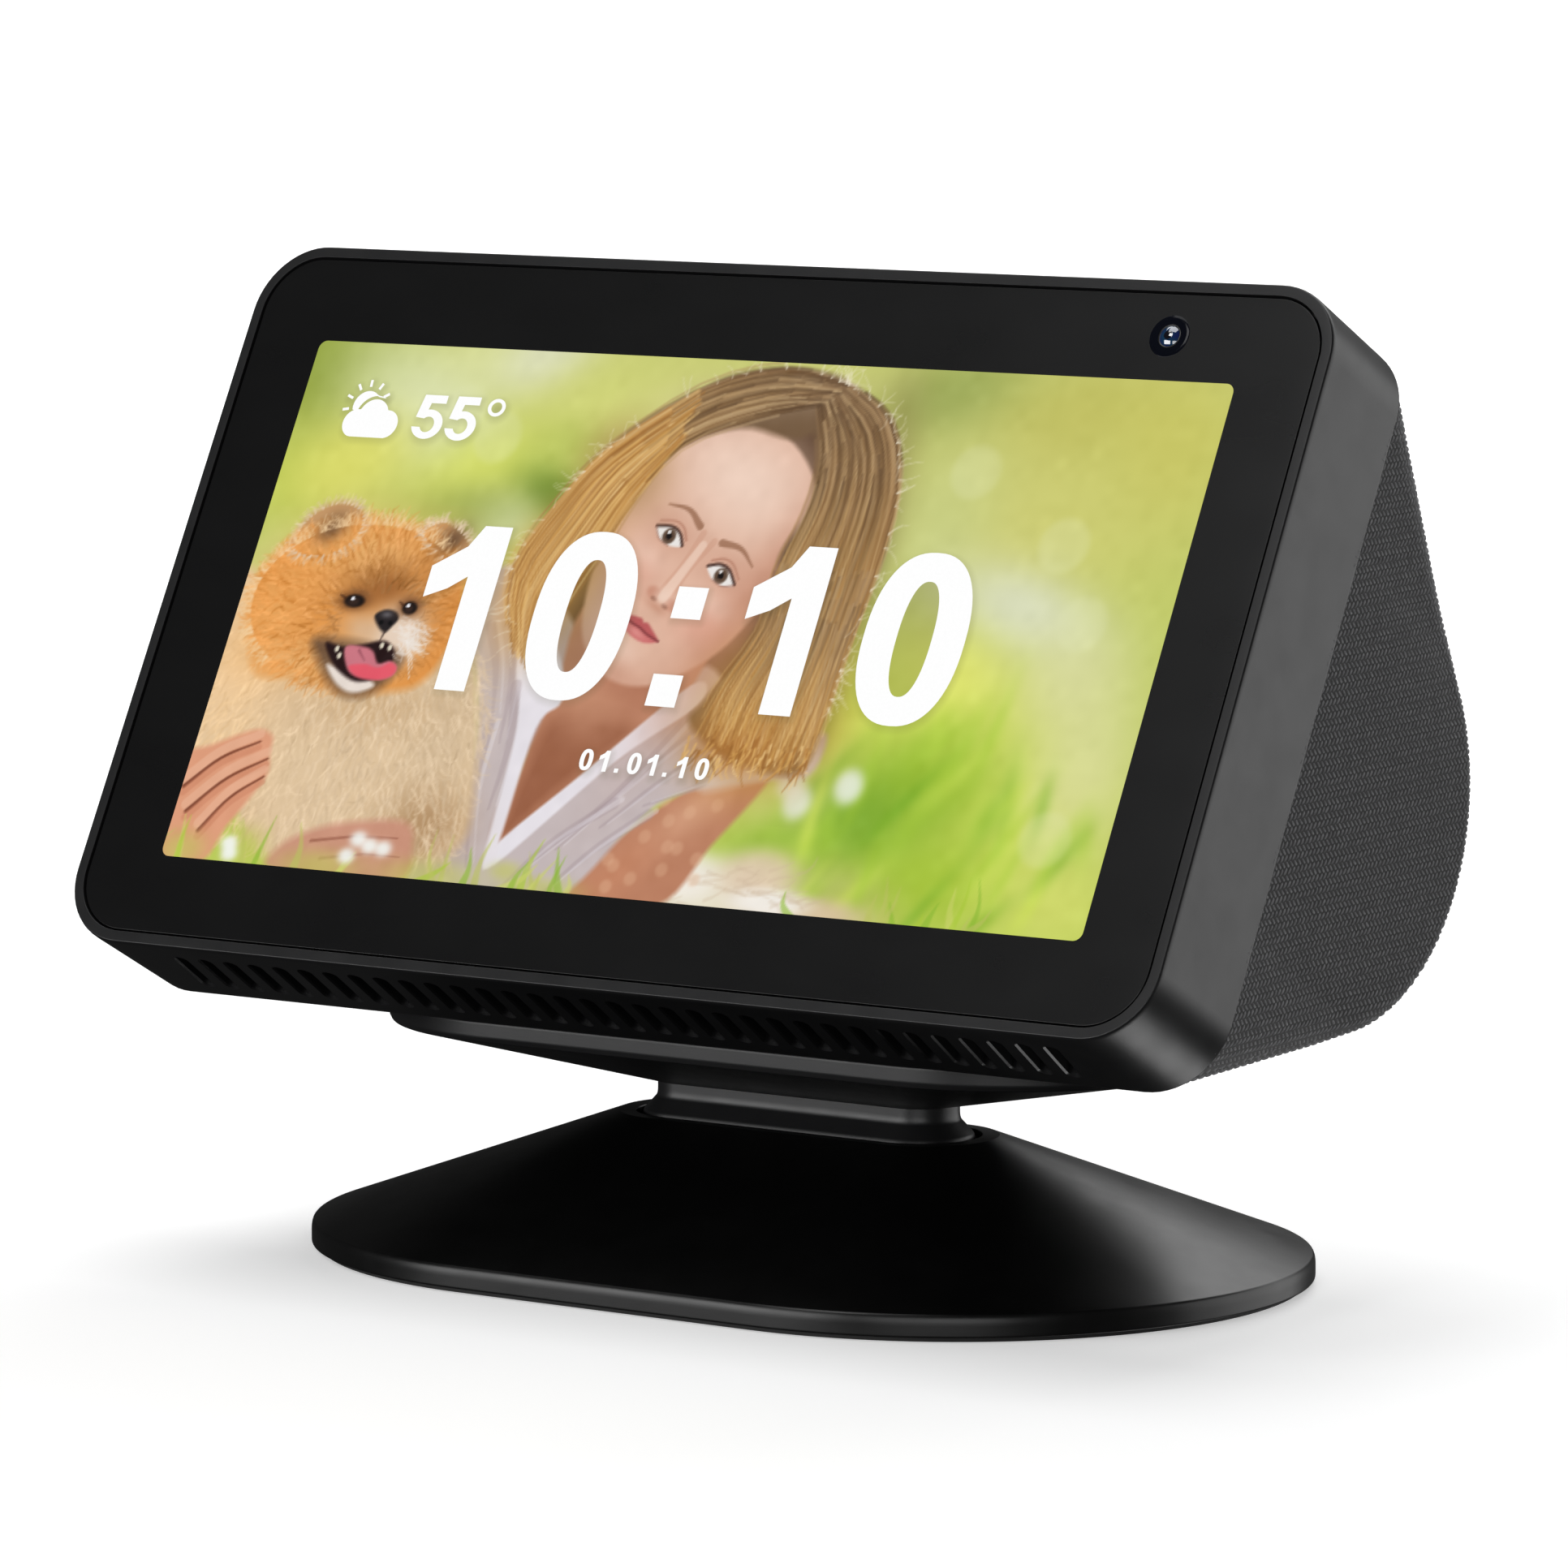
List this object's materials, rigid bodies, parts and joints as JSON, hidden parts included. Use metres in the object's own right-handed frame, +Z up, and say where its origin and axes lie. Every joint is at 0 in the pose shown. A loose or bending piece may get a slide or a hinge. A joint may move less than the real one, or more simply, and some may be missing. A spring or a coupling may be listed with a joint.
{
  "type": "smart display",
  "caption": "Compact smart display with a fabric-backed speaker body, held by magnets on a tilting stand with a weighted stadium-shaped foot.",
  "frame": {"origin": "on the desk under the centre of the stand's foot", "axes": "+Z up, the screen faces -Y, +X to the right for someone looking at the screen"},
  "size_m": [0.148, 0.0864, 0.1145],
  "materials": {
    "dark_plastic": "fine matt moulded plastic, near black",
    "grey_plastic": "satin charcoal moulded plastic",
    "silicone": "soft matt silicone",
    "screen_glass": "black-printed cover glass, polished",
    "bonding_tape": "thin black foam tape",
    "picture_panel": "lit liquid crystal panel",
    "white_reflector": "white light guide tray",
    "ballast_steel": "blackened steel",
    "pressed_steel": "zinc-plated pressed steel",
    "screw_steel": "plated steel",
    "washer_brass": "phosphor bronze",
    "magnet_nickel": "nickel-plated magnet",
    "lens_glass": "coated lens in a black ring",
    "camera_black": "black camera housing",
    "circuit_board": "green solder mask",
    "microphone_gold": "gold-plated microphone cans",
    "spreader_aluminium": "extruded aluminium",
    "flex_film": "polyimide film",
    "cone_paper": "treated paper cone",
    "knit_fabric": "charcoal herringbone knit"
  },
  "bodies": {
    "base": {"base_foot_pad": "silicone", "base_floor": "dark_plastic", "ballast_plate": "ballast_steel", "base_cover": "dark_plastic", "base_screws": "screw_steel", "hinge_bracket": "pressed_steel", "hinge_pin": "screw_steel", "hinge_clips": "screw_steel", "friction_washers": "washer_brass", "bracket_screws": "screw_steel"},
    "head": {"hinge_leaf": "pressed_steel", "leaf_screws": "screw_steel", "neck_shell": "grey_plastic", "dish_shell": "grey_plastic", "plate_magnets": "magnet_nickel", "plate_cap": "grey_plastic", "plate_pad": "silicone", "front_housing": "grey_plastic", "cover_glass": "screen_glass", "glass_adhesive": "bonding_tape", "lcd_panel": "picture_panel", "backlight_unit": "white_reflector", "screen_chassis": "pressed_steel", "chassis_screws": "screw_steel", "camera_lens": "lens_glass", "camera_barrel": "camera_black", "camera_board": "circuit_board", "light_sensor": "camera_black", "button_board": "circuit_board", "tact_switches": "pressed_steel", "microphones": "microphone_gold", "main_board": "circuit_board", "board_shield": "pressed_steel", "heat_spreader": "spreader_aluminium", "board_screws": "screw_steel", "display_flex": "flex_film", "wifi_antenna": "flex_film", "speaker_basket": "dark_plastic", "speaker_magnet": "magnet_nickel", "speaker_cone": "cone_paper", "speaker_surround": "silicone", "speaker_chamber": "dark_plastic", "speaker_screws": "screw_steel", "rear_shell": "dark_plastic", "shell_screws": "screw_steel", "fabric_cover": "knit_fabric", "bottom_cover": "dark_plastic", "bottom_screws": "screw_steel", "bottom_foot": "silicone", "strike_plate": "pressed_steel", "socket_panel": "dark_plastic", "socket_board": "circuit_board", "power_jack": "camera_black", "audio_jack": "camera_black", "usb_port": "pressed_steel"},
    "shutter": {"shutter_slider": "grey_plastic"},
    "mute": {"mute_button": "grey_plastic"},
    "volume_down": {"volume_down_button": "grey_plastic"},
    "volume_up": {"volume_up_button": "grey_plastic"}
  },
  "joints": [
    {"name": "stand_tilt", "type": "hinge", "parent": "base", "child": "head", "pos_m": [0, 0, 0.0146], "axis": [1, 0, 0], "range_deg": [-18, 15]},
    {"name": "camera_shutter", "type": "slide", "parent": "head", "child": "shutter", "axis": [-1, 0, 0], "range_m": [0, 0.008]},
    {"name": "mute_press", "type": "slide", "parent": "head", "child": "mute", "axis": [0, -0.4679, -0.8838], "range_m": [0, 0.0005], "stiffness_N_per_m": 2000, "springref_m": -0.0004},
    {"name": "volume_down_press", "type": "slide", "parent": "head", "child": "volume_down", "axis": [0, -0.4679, -0.8838], "range_m": [0, 0.0005], "stiffness_N_per_m": 2000, "springref_m": -0.0004},
    {"name": "volume_up_press", "type": "slide", "parent": "head", "child": "volume_up", "axis": [0, -0.4679, -0.8838], "range_m": [0, 0.0005], "stiffness_N_per_m": 2000, "springref_m": -0.0004}
  ]
}
